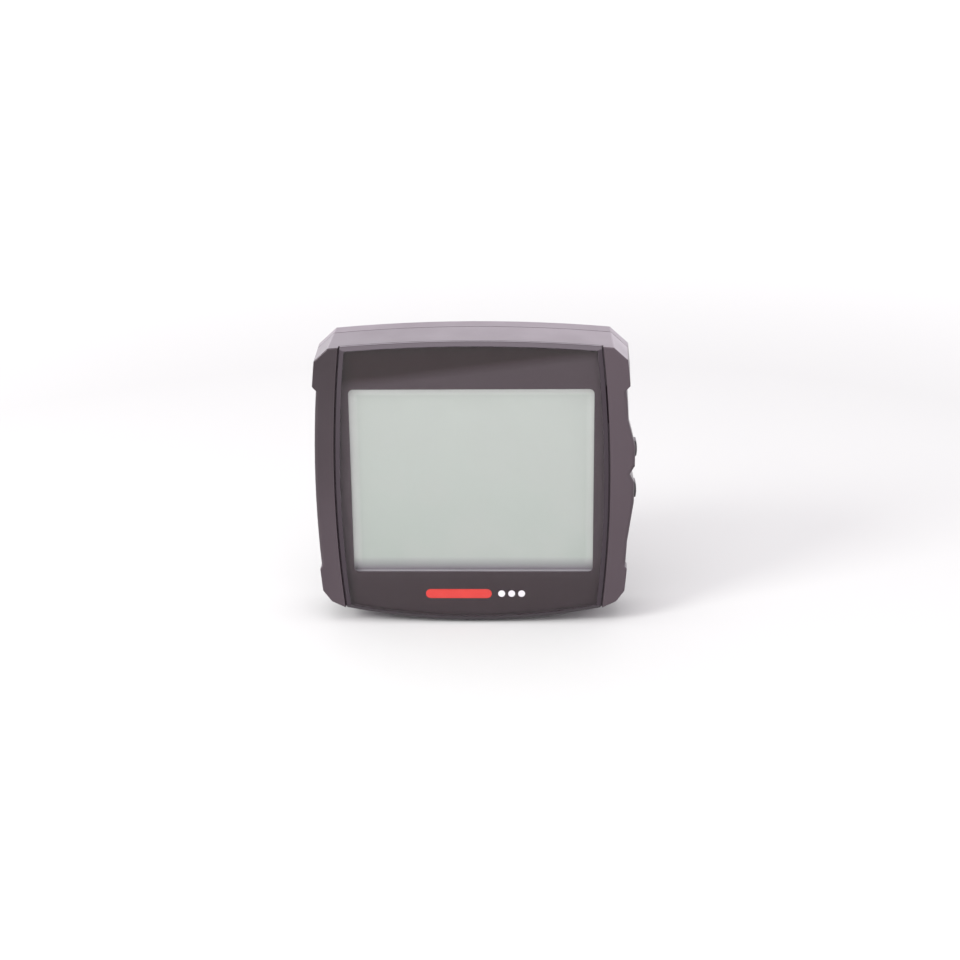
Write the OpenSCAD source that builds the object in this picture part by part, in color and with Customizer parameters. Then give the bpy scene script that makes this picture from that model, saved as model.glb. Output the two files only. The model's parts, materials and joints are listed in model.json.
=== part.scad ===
// Digital motorcycle instrument cluster: a flat housing with a barrel-shaped glossy
// window between two side rails, two push buttons in the right-hand wall, a reflective
// liquid crystal display, one circuit board and two threaded mounting inserts at the back.
// +Z is up, +X is the rider's right and -Y is towards the rider. The origin is the middle
// of the two mounting inserts, on the plane of their seats, which is the rearmost plane.

/* [Case] */
// Width across the front at mid height, without the button bulge
case_w = 89.5; // [88.5:0.1:91]
// Height of the crown of the top arc above the mounting centre, at the front
crown_h = 40.8; // [40.4:0.1:42]
// Depth of the lowest point below the mounting centre, at the front
sole_h = 42.4; // [42:0.1:44]
// Depth from the window's face to the seats of the mounting inserts
case_d = 24.1; // [24:0.1:26]
// Thickness of the outer walls
wall = 2.2; // [2:0.1:2.4]
// Growth of every outer wall from front to back, in degrees
draft = 2.8; // [1:0.1:3]
// Depth of the rear cover from the parting line to its back face
rear_d = 7; // [7:0.1:8]

/* [Outline] */
// Radius of the long arc along the top
top_r = 450; // [400:10:600]
// Radius of the deeper arc along the bottom
bottom_r = 180; // [170:5:200]
// Radius of the barrel-shaped sides
side_r = 320; // [300:10:400]
// How far the upper corners stand out from the sides
upper_ear = 1.15; // [0.6:0.05:1.3]
// How far the lower corners stand out from the sides
lower_ear = 0.6; // [0.4:0.05:0.9]

/* [Window] */
// Width of the visible display
window_w = 69.2; // [66:0.1:69.6]
// Height of the visible display
window_h = 54.7; // [52:0.1:55]
// Height of the display's middle above the mounting centre
window_z = -0.5; // [-0.8:0.1:0.2]
// Corner radius of the visible display
window_r = 1.4; // [0.5:0.1:3]
// Widest part of the window panel
lens_w = 77.8; // [77:0.1:78.4]
// Thickness of the window panel
lens_t = 1.6; // [1.5:0.1:1.8]
// Width of the bevel along the top and bottom of the window panel
bevel_w = 1.2; // [0.6:0.05:1.5]
// Depth of the bevel along the top and bottom of the window panel
bevel_d = 0.8; // [0.6:0.1:1.2]
// Width of the shallow bevel along the sides of the window panel
side_bevel_w = 1.35; // [0.6:0.05:1.5]
// Depth of the shallow bevel along the sides of the window panel
side_bevel_d = 0.35; // [0.2:0.05:0.5]

/* [Buttons] */
// Length of a button, front to back
button_len = 8; // [7:0.1:8.4]
// Height of a button
button_h = 4.6; // [4:0.1:5]
// Travel of a button
button_travel = 0.5; // [0.3:0.05:0.6]
// Height of the upper button above the mounting centre
select_z = 8.3; // [8:0.1:9]
// Distance between the two buttons
button_pitch = 12.3; // [11.6:0.1:12.4]

/* [Mounting] */
// Distance between the two mounting inserts
mount_pitch = 50; // [44:1:56]
// Radius of the threaded hole in a mounting insert
mount_bore_r = 2.1; // [1.6:0.05:2.1]
// Depth of the threaded hole in a mounting insert
mount_bore_d = 6.5; // [5:0.1:6.5]
// Radius of the opening through the cable grommet
cable_r = 3.1; // [2.5:0.1:3.2]

/* [Hidden] */

// Facets of a full circle: the large outline arcs, ordinary rounds and small details
arc_fn = 360;
round_fn = 64;
small_fn = 32;
// Running gap between neighbouring pieces, gap between stacked sheets, and the least gap
// between pieces that rest against each other
gap = 0.3;
film_gap = 0.03;
touch = 0.02;
// How far a cut runs past the surface it starts from
cut = 1;
// Reach of the blocks that cut or trim across the whole case
big = 60;

// Planes from front to back
seat_y = 0;
front_y = seat_y - case_d;
boss_h = 1.1;
back_y = seat_y - boss_h;
part_y = back_y - rear_d;
floor_t = 2;
inside_back_y = back_y - floor_t;
lens_back_y = front_y + lens_t;
ledge_y = lens_back_y + 0.35;
recess_d = 3.4;
lcd_y = front_y + recess_d;
ledge_back_y = lcd_y - gap;
display_d = 7.9;
board_t = 1.6;
board_y = lcd_y + display_d;
board_back_y = board_y + board_t;
part_side_y = board_back_y + touch;
bulge_end_y = part_y - 1.2;

// Growth of an outer wall for each millimetre of depth
slope = tan(draft);
corner_slope = 0.6 * slope;

// Outline of the case, as heights and distances from the mounting centre
side_x = case_w / 2;
side_mid_z = -1.5;
lens_x = lens_w / 2;
lens_side_r = 350;
lens_mid_z = -2;
lens_gap = 0.4;
// Sheets between the window panel and its ledge: insets from the outline, thicknesses
ledge_inset = 0.9;
mask_inset = 1;
mask_t = 0.1;
tape_inset = 1.1;
mask_y = lens_back_y + film_gap;
tape_y = mask_y + mask_t + film_gap;
// Gasket and its groove in both shells: inset from the walls, width and depth
groove_inset = 0.75;
groove_w = 0.9;
groove_d = 0.5;
groove_play = 0.05;
// Corner planes: the direction that each faces, and its distance from the centre
upper_angle = 48;
upper_dist = crown_h + 14.84;
lower_angle = -36.5;
lower_dist = sole_h + 12.55;
heel_angle = -64;
heel_dist = sole_h + 8.55;
// Where the corners' outstanding blocks begin
upper_ear_z = crown_h - 12.7;
lower_ear_z = -sole_h + 15.6;
// Slopes of the ears' inner ends, and how far back the lower ears reach
upper_ear_rise = 1;
lower_ear_rise = -1.2;
lower_ear_end_y = front_y + 6;

// Screw places, as [x, z]
case_screw_x = case_w / 2 - 7.45;
case_screws_at = [
  for (side = [-1, 1]) [side * case_screw_x, crown_h - 6.6],
  for (side = [-1, 1]) [side * case_screw_x, -sole_h + 7.6]
];
board_screw_x = 20;
board_screws_at = [
  for (side = [-1, 1]) [side * board_screw_x, crown_h - 7.2],
  for (side = [-1, 1]) [side * board_screw_x, -sole_h + 7]
];
case_boss_r = 3.2;
case_pilot_r = 1.3;
case_screw_r = 1.25;
case_screw_len = 10.85;
screw_head_r = 2.7;
screw_head_t = 1.9;
screw_seat_y = back_y - 3.15;
board_screw_r = 1;
board_head_r = 2.1;
board_head_t = 1.4;
board_screw_len = 6.7;

// Buttons, from the outside in, as distances from the centre plane
adjust_z = select_z - button_pitch;
button_mid_z = (select_z + adjust_z) / 2;
button_y = front_y + 7.5;
bulge_x = side_x + 1.45;
cap_x = bulge_x + 0.8;
pad_x = side_x - 2.25;
pocket_x = pad_x + 1.1;
push_gap = 0.05;
flange_t = 0.8;
flange_x = pocket_x - push_gap - flange_t;
flange_rim = 0.9;
boot_top_x = flange_x - push_gap;
boot_t = 0.6;
boot_x = pad_x - push_gap - boot_t;
boot_rim = 1.8;
boot_post_r = 1.3;
plunger_tip_x = boot_top_x - 1.55;
plunger_r = 1.2;
collar_t = 0.5;
switch_size = 6;
switch_t = 3.4;
switch_x = plunger_tip_x - 1.25;
switch_cover_t = 0.33;
collar_x = switch_x - 0.9;

// Lower and upper edge of the window
window_low_z = window_z - window_h / 2;
window_high_z = window_z + window_h / 2;

// Printed accent below the display
mark_z = window_low_z - 6.8;
ink_gap = 0.005;
ink_t = 0.02;
bar_x = -4.3;
bar_w = 19.2;
bar_h = 2.8;
first_dot_x = 8.2;
dot_pitch = 2.9;
dot_r = 1;

// Display stack
glass_w = window_w + 2.2;
glass_t = 1.1;
film_w = window_w + 1.6;
film_h = window_h + 2.1;
film_low_z = window_z - film_h / 2;
film_high_z = window_z + film_h / 2;
glass_top_z = window_high_z + 1.55;
glass_low_z = window_low_z - 1.35;
ledge_bottom_z = window_low_z - 3.75;
sheet_gap = 0.05;
polarizer_t = 0.18;
rear_film_t = 0.22;
diffuser_t = 0.25;
guide_t = 2.5;
reflector_t = 0.15;
front_glass_y = lcd_y + polarizer_t + touch;
rear_glass_y = front_glass_y + glass_t + touch;
rear_film_y = rear_glass_y + glass_t + touch;
diffuser_y = rear_film_y + rear_film_t + sheet_gap;
guide_y = diffuser_y + diffuser_t + sheet_gap;
reflector_y = guide_y + guide_t + sheet_gap;
tray_floor_y = reflector_y + reflector_t + sheet_gap;
tray_front_y = ledge_back_y + 0.1;
tray_back_y = board_y - 0.1;
tray_w = window_w + 3.6;
tray_top_z = window_high_z + 3.65;
tray_bottom_z = window_low_z - 4.95;
strip_z = window_low_z - 2.75;
led_low_z = glass_top_z - 0.4;
led_board_z = glass_top_z + 0.75;
led_board_t = 0.5;

// Parts on the back of the board, as [x, z]
processor_at = [-14, 6];
memory_at = [4, 12];
regulator_at = [16, -16];
crystal_at = [-14, -5.2];
capacitors_at = [[8, -26], [16, -27], [-9, -26]];

// Wiring connector on the board, below the cable inlet
cable_z = -19;
header_count = 8;
header_pitch = 2;
header_z = cable_z + 0.5;
pin_w = 0.6;

// Rear cover details
insert_r = 3.5;
insert_len = mount_bore_d + 1;
insert_back_y = seat_y - insert_len;
mount_boss_r = 5.6;
grommet_flange_r = 6.4;
grommet_neck_r = 4.8;
grommet_lip = 0.8;
grommet_lip_y = inside_back_y - 1.2;
label_w = 40;
label_h = 15;
label_z = 20;
label_r = 1.2;
label_recess = 0.4;

// ---------- helpers ----------

// Extrudes a profile drawn in X and Z along Y, from y0 to y1
module along_y(y0, y1) {
  translate([0, y1, 0]) rotate([90, 0, 0]) linear_extrude(y1 - y0) children();
}

// Extrudes a profile drawn in Y and Z along X, from x0 to x1
module along_x(x0, x1) {
  translate([x0, 0, 0]) rotate([90, 0, 90]) linear_extrude(x1 - x0) children();
}

// Round bar along Y
module rod_y(x, z, r, y0, y1, facets = round_fn) {
  translate([x, y0, z]) rotate([-90, 0, 0]) cylinder(r = r, h = y1 - y0, $fn = facets);
}

// Block between two opposite corners
module block(low, high) {
  translate(low) cube(high - low);
}

// Rectangle with round corners, centred
module round_rect(w, h, r) {
  square([w - 2 * r, h], center = true);
  square([w, h - 2 * r], center = true);
  for (sx = [-1, 1], sz = [-1, 1])
    translate([sx * (w / 2 - r), sz * (h / 2 - r)]) circle(r, $fn = small_fn);
}

// Slot shape with round ends, lying along its first axis
module obround(len, h) {
  square([len - h, h], center = true);
  for (s = [-1, 1]) translate([s * (len - h) / 2, 0]) circle(h / 2, $fn = round_fn);
}

// How far the outer walls have grown at a given depth
function growth(y) = slope * (y - front_y);
function corner_growth(y) = corner_slope * (y - front_y);

// Large cone along Y whose wall is one side of the outline
module drum(x, z, r, y0, y1, inset0, inset1) {
  translate([x, y0, z]) rotate([-90, 0, 0])
    cylinder(r1 = r - inset0 + growth(y0), r2 = r - inset1 + growth(y1),
             h = y1 - y0, $fn = arc_fn);
}

// Everything on the inner side of a corner plane that leans outwards with the walls
module corner_half(angle, dist, y0, y1, inset0, inset1) {
  d0 = dist - inset0 + corner_growth(y0);
  d1 = dist - inset1 + corner_growth(y1);
  lean = atan((d1 - d0) / (y1 - y0));
  rotate([0, -angle, 0]) translate([d0, y0, 0]) rotate([0, 0, -lean])
    translate([-3 * big, -big, -2 * big]) cube([3 * big, 3 * big, 4 * big]);
}

// Region above or below a pair of slanted lines, where an ear stands out
module ear_zone(z, rise, y0, y1) {
  along_y(y0, y1)
    polygon([[0, z - rise * side_x], [big, z + rise * (big - side_x)],
             [big, sign(z) * big], [-big, sign(z) * big],
             [-big, z + rise * (big - side_x)]]);
}

// Barrel-shaped left and right walls
module barrel(stand_out, y0, y1, inset0, inset1) {
  intersection_for (s = [-1, 1])
    drum(s * (side_x - side_r), side_mid_z, side_r + stand_out, y0, y1, inset0, inset1);
}

// The six corner planes together. The trim takes more off the corners, and twice as much
// off the two lowest planes, so that no two of its edges end in the same point.
module corner_planes(y0, y1, inset0, inset1, trim) {
  intersection_for (s = [0, 1]) mirror([s, 0, 0]) intersection() {
    corner_half(upper_angle, upper_dist - trim, y0, y1, inset0, inset1);
    corner_half(heel_angle, heel_dist - 2 * trim, y0, y1, inset0, inset1);
    corner_half(lower_angle, lower_dist - trim, y0, y1, inset0, inset1);
  }
}

// Top and bottom arcs with the corner planes
module crown_and_sole(y0, y1, inset0, inset1, trim = 0) {
  intersection() {
    drum(0, crown_h - top_r, top_r, y0, y1, inset0, inset1);
    drum(0, bottom_r - sole_h, bottom_r, y0, y1, inset0, inset1);
    corner_planes(y0, y1, inset0, inset1, trim);
  }
}

// Solid with the case's outer shape and ears, between two depths
module outer_body(y0, y1, inset0 = 0, inset1 = 0, trim = 0) {
  intersection() {
    crown_and_sole(y0, y1, inset0, inset1, trim);
    union() {
      barrel(0, y0, y1, inset0, inset1);
      intersection() {
        barrel(upper_ear, y0, y1, inset0, inset1);
        ear_zone(upper_ear_z, upper_ear_rise, y0, y1);
      }
      if (y0 < lower_ear_end_y)
        intersection() {
          barrel(lower_ear, y0, y1, inset0, inset1);
          ear_zone(lower_ear_z, lower_ear_rise, y0, lower_ear_end_y);
        }
    }
  }
}

// Solid with the shape of the inside or of a smooth ring round it
module inner_body(inset, y0, y1) {
  intersection() {
    crown_and_sole(y0, y1, inset, inset);
    barrel(0, y0, y1, inset, inset);
  }
}

// Outline of the window panel, as a flat shape
module lens_outline(inset) {
  intersection() {
    translate([0, crown_h - top_r]) circle(top_r - inset, $fn = arc_fn);
    translate([0, bottom_r - sole_h]) circle(bottom_r - inset, $fn = arc_fn);
    lens_sides(inset);
  }
}

// Outline of the visible display, grown all round by the given rim
module window_outline(rim) {
  translate([0, window_z])
    round_rect(window_w + 2 * rim, window_h + 2 * rim, window_r + rim);
}

// Space between the two side rails, as a flat shape
module lens_sides(inset) {
  intersection_for (s = [-1, 1])
    translate([s * (lens_x - lens_side_r), lens_mid_z])
      circle(lens_side_r - inset, $fn = arc_fn);
}

// ---------- housing ----------

// Flat pad with two shoulders on the right-hand wall, which carries the buttons
module button_bulge() {
  root_x = side_x - 3;
  low_x = bulge_x - 0.1;
  shoulder = button_pitch / 2 + 2.1;
  upper_run = 17;
  lower_run = 30;
  notch = 2.4;
  notch_d = 1.35;
  along_y(front_y, bulge_end_y)
    polygon([
      [root_x, button_mid_z + shoulder + upper_run], [bulge_x, button_mid_z + shoulder],
      [bulge_x, button_mid_z + notch], [bulge_x - notch_d, button_mid_z],
      [low_x, button_mid_z - notch], [low_x, button_mid_z - shoulder],
      [root_x, button_mid_z - shoulder - lower_run]
    ]);
}

// Pilot-hole bosses for the case screws
module front_bosses() {
  for (p = case_screws_at) rod_y(p[0], p[1], case_boss_r, ledge_back_y, part_y);
}

// Thick flat area inside the right-hand wall, where the buttons are sealed
module button_pad() {
  reach = 6.2;
  block([pad_x, ledge_back_y - cut, adjust_z - reach],
        [side_x - 0.5, button_y + reach, select_z + reach]);
}

// Outline of a button, grown all round by the given rim
module button_outline(rim) {
  obround(button_len + 2 * rim, button_h + 2 * rim);
}

// Opening, flange pocket and boot seat of one button in the wall
module button_port(z) {
  translate([0, button_y, z]) {
    along_x(pad_x - cut, cap_x + cut) button_outline(gap);
    along_x(pad_x - cut, pocket_x) button_outline(flange_rim + gap);
    along_x(boot_x - gap, pad_x) button_outline(boot_rim + gap);
  }
}

// Ring that follows the walls, thinner than the groove for the gasket by a play all round
module gasket_ring(play, y0, y1) {
  difference() {
    inner_body(groove_inset + play, y0, y1);
    inner_body(groove_inset + groove_w - play, y0 - cut, y1 + cut);
  }
}

module front_case() {
  window_relief = 0.4;
  pilot_floor = 1.2;
  color([0.13, 0.12, 0.13]) difference() {
    union() {
      difference() {
        union() {
          outer_body(front_y, part_y);
          button_bulge();
        }
        inner_body(wall, ledge_back_y, part_y + cut);
      }
      front_bosses();
      button_pad();
    }
    along_y(front_y - cut, lens_back_y + film_gap) lens_sides(-lens_gap);
    along_y(lens_back_y, ledge_y) lens_outline(ledge_inset);
    along_y(front_y - cut, part_y) window_outline(window_relief);
    for (p = case_screws_at)
      rod_y(p[0], p[1], case_pilot_r, ledge_back_y + pilot_floor, part_y + cut, small_fn);
    button_port(select_z);
    button_port(adjust_z);
    gasket_ring(0, part_y - groove_d, part_y + cut);
  }
}

// Tubes that carry the case screws' heads
module rear_screw_tubes() {
  tube_r = case_boss_r + 0.4;
  tube_gap = 0.1;
  for (p = case_screws_at) rod_y(p[0], p[1], tube_r, part_y + tube_gap, back_y - floor_t / 4);
}

// Bosses round the mounting inserts, each with a low step on the back face
module mount_bosses() {
  boss_floor = 1.1;
  step_w = 1.2;
  step_h = 0.5;
  for (s = [-1, 1]) {
    rod_y(s * mount_pitch / 2, 0, mount_boss_r, insert_back_y - boss_floor, seat_y);
    rod_y(s * mount_pitch / 2, 0, mount_boss_r + step_w, inside_back_y, back_y + step_h);
  }
}

// Upright ribs on the inside of the rear cover, which stiffen its floor
module rear_ribs() {
  rib_x = 12;
  rib_w = 1.2;
  rib_h = 1.6;
  rib_z = [-10, 32];
  for (x = [-rib_x, rib_x])
    block([x - rib_w / 2, inside_back_y - rib_h, rib_z[0]],
          [x + rib_w / 2, inside_back_y + floor_t / 2, rib_z[1]]);
}

// Outer shape of the rear cover, with a chamfer round its back face
module rear_outside(y0) {
  edge = 0.9;
  corner_trim = 0.06;
  intersection() {
    outer_body(y0, back_y);
    outer_body(y0, back_y, y0 + edge - back_y, edge, corner_trim);
  }
}

// Rear cover, set back by a fine shadow line where it meets the front shell
module rear_case() {
  shadow_d = 0.3;
  shadow_inset = 0.28;
  lip = 0.05;
  head_sink = 0.05;
  label_rim = 0.4;
  color([0.12, 0.11, 0.12]) difference() {
    union() {
      difference() {
        union() {
          outer_body(part_y + lip, part_y + shadow_d + lip, shadow_inset, shadow_inset);
          rear_outside(part_y + shadow_d);
        }
        inner_body(wall, part_y - cut, inside_back_y);
      }
      intersection() {
        rear_screw_tubes();
        outer_body(part_y, back_y);
      }
      mount_bosses();
      rear_ribs();
    }
    for (p = case_screws_at) {
      rod_y(p[0], p[1], case_screw_r + gap, part_y - cut, back_y + cut, small_fn);
      rod_y(p[0], p[1], screw_head_r + gap, screw_seat_y - head_sink, back_y + cut);
    }
    for (s = [-1, 1])
      rod_y(s * mount_pitch / 2, 0, insert_r + touch, insert_back_y - touch, seat_y + cut);
    rod_y(0, cable_z, grommet_neck_r + lip, inside_back_y - cut, back_y + cut);
    along_y(back_y - label_recess, back_y + cut) translate([0, label_z])
      round_rect(label_w + 2 * label_rim, label_h + 2 * label_rim, label_r + label_rim);
    gasket_ring(0, part_y - cut, part_y + groove_d + lip);
  }
}

module case_gasket() {
  color([0.25, 0.25, 0.26])
    gasket_ring(groove_play, part_y - groove_d + groove_play, part_y + groove_d);
}

// Threaded brass inserts, each with a groove round its middle that locks it in the plastic
module mount_inserts() {
  groove_y = seat_y - insert_len / 2;
  groove_half = 0.6;
  groove_r = insert_r - 0.5;
  color([0.78, 0.62, 0.32]) for (s = [-1, 1]) translate([s * mount_pitch / 2, 0, 0])
    difference() {
      rod_y(0, 0, insert_r, insert_back_y, seat_y);
      rod_y(0, 0, mount_bore_r, seat_y - mount_bore_d, seat_y + cut);
      difference() {
        rod_y(0, 0, insert_r + cut, groove_y - groove_half, groove_y + groove_half);
        rod_y(0, 0, groove_r, groove_y - cut, groove_y + cut);
      }
    }
}

// Rubber inlet for the wiring: a flange outside, a neck and a lip inside the rear cover
module cable_grommet() {
  flange_t = 0.97;
  flange_y = back_y + film_gap;
  color([0.16, 0.16, 0.17]) difference() {
    union() {
      rod_y(0, cable_z, grommet_flange_r, flange_y, flange_y + flange_t);
      rod_y(0, cable_z, grommet_neck_r, grommet_lip_y, flange_y + flange_t / 2);
      rod_y(0, cable_z, grommet_neck_r + grommet_lip, grommet_lip_y,
            inside_back_y - film_gap);
    }
    rod_y(0, cable_z, cable_r, grommet_lip_y - cut, seat_y + cut);
  }
}

module blank_label() {
  label_t = 0.18;
  label_y = back_y - label_recess + touch;
  color([0.75, 0.76, 0.77]) along_y(label_y, label_y + label_t)
    translate([0, label_z]) round_rect(label_w, label_h, label_r);
}

// Self-tapping screw along Y with a cross recess in its head, which faces +Y
module screw_y(x, z, r, len, seat, head_r, head_t) {
  slot_w = 0.6;
  slot_len = 1.1 * head_r;
  difference() {
    union() {
      rod_y(x, z, r, seat - len, seat + head_t / 2, small_fn);
      rod_y(x, z, head_r, seat, seat + head_t, small_fn);
    }
    for (w = [[slot_len, slot_w], [slot_w, slot_len]])
      block([x - w[0] / 2, seat + head_t / 2, z - w[1] / 2],
            [x + w[0] / 2, seat + head_t + cut, z + w[1] / 2]);
  }
}

module case_screws() {
  color([0.5, 0.5, 0.52]) for (p = case_screws_at)
    screw_y(p[0], p[1], case_screw_r, case_screw_len, screw_seat_y, screw_head_r,
            screw_head_t);
}

// ---------- window ----------

// Clear panel with a bevelled edge, flush with the case at the top and bottom
module front_lens() {
  color([0.1, 0.1, 0.11, 0.6]) intersection() {
    lens_ends(0, 0);
    lens_ends(bevel_w, bevel_w * (1 - lens_t / bevel_d));
    lens_walls(0, 0);
    lens_walls(side_bevel_w, side_bevel_w * (1 - lens_t / side_bevel_d));
  }
}

// Top and bottom arcs of the window panel, with an inset at each of its faces
module lens_ends(inset0, inset1) {
  intersection() {
    drum(0, crown_h - top_r, top_r, front_y, lens_back_y, inset0, inset1);
    drum(0, bottom_r - sole_h, bottom_r, front_y, lens_back_y, inset0, inset1);
  }
}

// Sides of the window panel, with an inset at each of its faces
module lens_walls(inset0, inset1) {
  intersection_for (s = [-1, 1])
    drum(s * (lens_x - lens_side_r), lens_mid_z, lens_side_r, front_y, lens_back_y,
         inset0, inset1 + growth(lens_back_y));
}

// Black film behind the panel, which leaves the display in view
module window_mask() {
  color([0.05, 0.05, 0.05]) along_y(mask_y, mask_y + mask_t) difference() {
    lens_outline(mask_inset);
    window_outline(0);
  }
}

// Adhesive frame between the film and the ledge of the front shell
module lens_tape() {
  window_rim = 1;
  color([0.2, 0.2, 0.2]) along_y(tape_y, ledge_y - touch) difference() {
    lens_outline(tape_inset);
    window_outline(window_rim);
  }
}

// Layer of ink on the back of the panel, at the height of the printed accent
module ink_layer() {
  translate([0, 0, mark_z]) along_y(lens_back_y + ink_gap, lens_back_y + ink_gap + ink_t)
    children();
}

// Plain bar in one ink
module printed_bar() {
  color([0.85, 0.2, 0.15]) ink_layer() translate([bar_x, 0]) obround(bar_w, bar_h);
}

// Three plain dots in another ink
module printed_dots() {
  color([0.95, 0.95, 0.95]) ink_layer()
    for (i = [0:2]) translate([first_dot_x + dot_pitch * i, 0])
      circle(dot_r, $fn = small_fn);
}

// ---------- display ----------

// Sheet between two heights, centred from side to side
module sheet(w, z0, z1, y, t) {
  block([-w / 2, y, z0], [w / 2, y + t, z1]);
}

// Sheet of the display stack, just larger than the window
module film(y, t) {
  sheet(film_w, film_low_z, film_high_z, y, t);
}

module front_polarizer() {
  color([0.72, 0.76, 0.72]) film(lcd_y, polarizer_t);
}

module lcd_front_glass() {
  color([0.7, 0.8, 0.78])
    sheet(glass_w, ledge_bottom_z, glass_top_z, front_glass_y, glass_t);
}

module lcd_rear_glass() {
  color([0.7, 0.8, 0.78])
    sheet(glass_w, glass_low_z, glass_top_z, rear_glass_y, glass_t);
}

module rear_polarizer() {
  color([0.66, 0.7, 0.66]) film(rear_film_y, rear_film_t);
}

module diffuser_film() {
  color([0.95, 0.95, 0.95]) film(diffuser_y, diffuser_t);
}

module light_guide() {
  color([0.85, 0.92, 0.9]) film(guide_y, guide_t);
}

module reflector_film() {
  color([0.98, 0.98, 0.98]) film(reflector_y, reflector_t);
}

// Posts at the top and bottom of the tray that the board is screwed to
module tray_posts() {
  post_r = 2.8;
  sunk = 0.5;
  for (p = board_screws_at) {
    edge_z = p[1] > 0 ? tray_top_z - sunk : tray_bottom_z + sunk;
    rod_y(p[0], p[1], post_r, tray_front_y, tray_back_y, small_fn);
    block([p[0] - post_r, tray_front_y, min(p[1], edge_z)],
          [p[0] + post_r, tray_back_y, max(p[1], edge_z)]);
  }
}

// Tray that carries the glass, the light guide and the films, and locates the board
module display_tray() {
  play = 0.1;
  led_room_w = 32;
  led_room_z = glass_top_z + 1.35;
  slit_w = window_w - 2;
  slit_half_h = 1;
  pilot_d = 7;
  color([0.9, 0.9, 0.88]) difference() {
    union() {
      sheet(tray_w, tray_bottom_z, tray_top_z, tray_front_y, tray_back_y - tray_front_y);
      tray_posts();
    }
    sheet(glass_w + 2 * play, ledge_bottom_z - play, glass_top_z + play,
          ledge_back_y - cut, rear_film_y + play - (ledge_back_y - cut));
    sheet(film_w + 2 * play, film_low_z - play, film_high_z + play, rear_film_y - cut,
          tray_floor_y - (rear_film_y - cut));
    sheet(led_room_w, window_z, led_room_z, guide_y - gap, guide_t + gap);
    sheet(slit_w, strip_z - slit_half_h, strip_z + slit_half_h, ledge_back_y, case_d);
    for (p = board_screws_at)
      rod_y(p[0], p[1], board_screw_r + play, tray_back_y - pilot_d, case_d, small_fn);
    for (p = case_screws_at)
      rod_y(p[0], p[1], case_boss_r + gap, front_y, board_y, small_fn);
  }
}

// Narrow board over the top edge of the light guide, which carries the diodes
module backlight_strip() {
  strip_w = 31;
  color([0.2, 0.5, 0.3])
    sheet(strip_w, led_board_z, led_board_z + led_board_t, guide_y, guide_t);
}

// Four diodes that shine down into the light guide
module backlight_leds() {
  led_w = 3;
  led_t = 1.6;
  led_pitch = 8;
  color([0.96, 0.93, 0.75]) for (i = [-1.5:1.5]) translate([led_pitch * i, 0, 0])
    sheet(led_w, led_low_z, led_board_z - sheet_gap, guide_y + (guide_t - led_t) / 2, led_t);
}

// Elastomer strip that joins the glass contacts to the board
module contact_strip() {
  y = front_glass_y + glass_t + touch;
  w = window_w - 3;
  half_h = 0.9;
  color([0.9, 0.55, 0.6])
    sheet(w, strip_z - half_h, strip_z + half_h, y, board_y - touch - y);
}

// ---------- electronics ----------

// Board with its corners notched and cut round the case screws' bosses
module main_board() {
  inset = wall + 0.7;
  side_inset = 5;
  notch = 10;
  notch_x = side_x - 3.4;
  notch_z = [2 - sole_h, crown_h - 3];
  boss_relief = 0.6;
  color([0.1, 0.36, 0.2]) along_y(board_y, board_back_y) difference() {
    intersection() {
      translate([0, crown_h - top_r]) circle(top_r - inset, $fn = arc_fn);
      translate([0, bottom_r - sole_h]) circle(bottom_r - inset, $fn = arc_fn);
      square([2 * (side_x - side_inset), 2 * big], center = true);
    }
    for (p = case_screws_at) translate(p) circle(case_boss_r + boss_relief, $fn = small_fn);
    for (p = board_screws_at) translate(p) circle(board_screw_r + gap, $fn = small_fn);
    for (x = [-notch_x, notch_x], z = notch_z)
      translate([x, z]) square(notch, center = true);
  }
}

module board_screws() {
  color([0.72, 0.72, 0.74]) for (p = board_screws_at)
    screw_y(p[0], p[1], board_screw_r, board_screw_len, part_side_y, board_head_r,
            board_head_t);
}

// Row of short leads along X or Z, at both sides of a chip
module leads(count, pitch, width, reach0, reach1, thickness, turned) {
  for (i = [0:count - 1], s = [-1, 1]) {
    run = (i - (count - 1) / 2) * pitch;
    rotate([0, turned ? 90 : 0, 0])
      block([run - width / 2, 0, s > 0 ? reach0 : -reach1],
            [run + width / 2, thickness, s > 0 ? reach1 : -reach0]);
  }
}

// Moves a part to its place on the back of the board
module on_board(place) {
  translate([place[0], part_side_y, place[1]]) children();
}

// Body of a chip, held just above the board
module chip_body(w, h, top_y) {
  stand_off = 0.15;
  block([-w / 2, stand_off, -h / 2], [w / 2, top_y, h / 2]);
}

module processor_chip() {
  size = 10;
  lead_sunk = 0.1;
  lead_reach = 1.2;
  color([0.12, 0.12, 0.13]) on_board(processor_at) {
    chip_body(size, size, 1.6);
    for (turned = [false, true])
      leads(12, 0.75, 0.3, size / 2 - lead_sunk, size / 2 + lead_reach, 0.3, turned);
  }
}

module memory_chip() {
  w = 5;
  h = 4;
  lead_sunk = 0.1;
  lead_reach = 1;
  color([0.13, 0.13, 0.14]) on_board(memory_at) {
    chip_body(w, h, 1.6);
    leads(4, 1.27, 0.4, h / 2 - lead_sunk, h / 2 + lead_reach, 0.3, false);
  }
}

// Power package: a body, a broad tab above it and two leads below it
module voltage_regulator() {
  w = 6.6;
  h = 6;
  tab_w = 5.2;
  tab_reach = 1.4;
  lead_x = 2.3;
  lead_w = 0.8;
  lead_reach = 2.4;
  sunk = 0.1;
  color([0.15, 0.15, 0.16]) on_board(regulator_at) {
    chip_body(w, h, 2.3);
    block([-tab_w / 2, 0, h / 2 - sunk], [tab_w / 2, 0.6, h / 2 + tab_reach]);
    for (x = [-lead_x, lead_x])
      block([x - lead_w / 2, 0, -h / 2 - lead_reach], [x + lead_w / 2, 0.5, sunk - h / 2]);
  }
}

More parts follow.
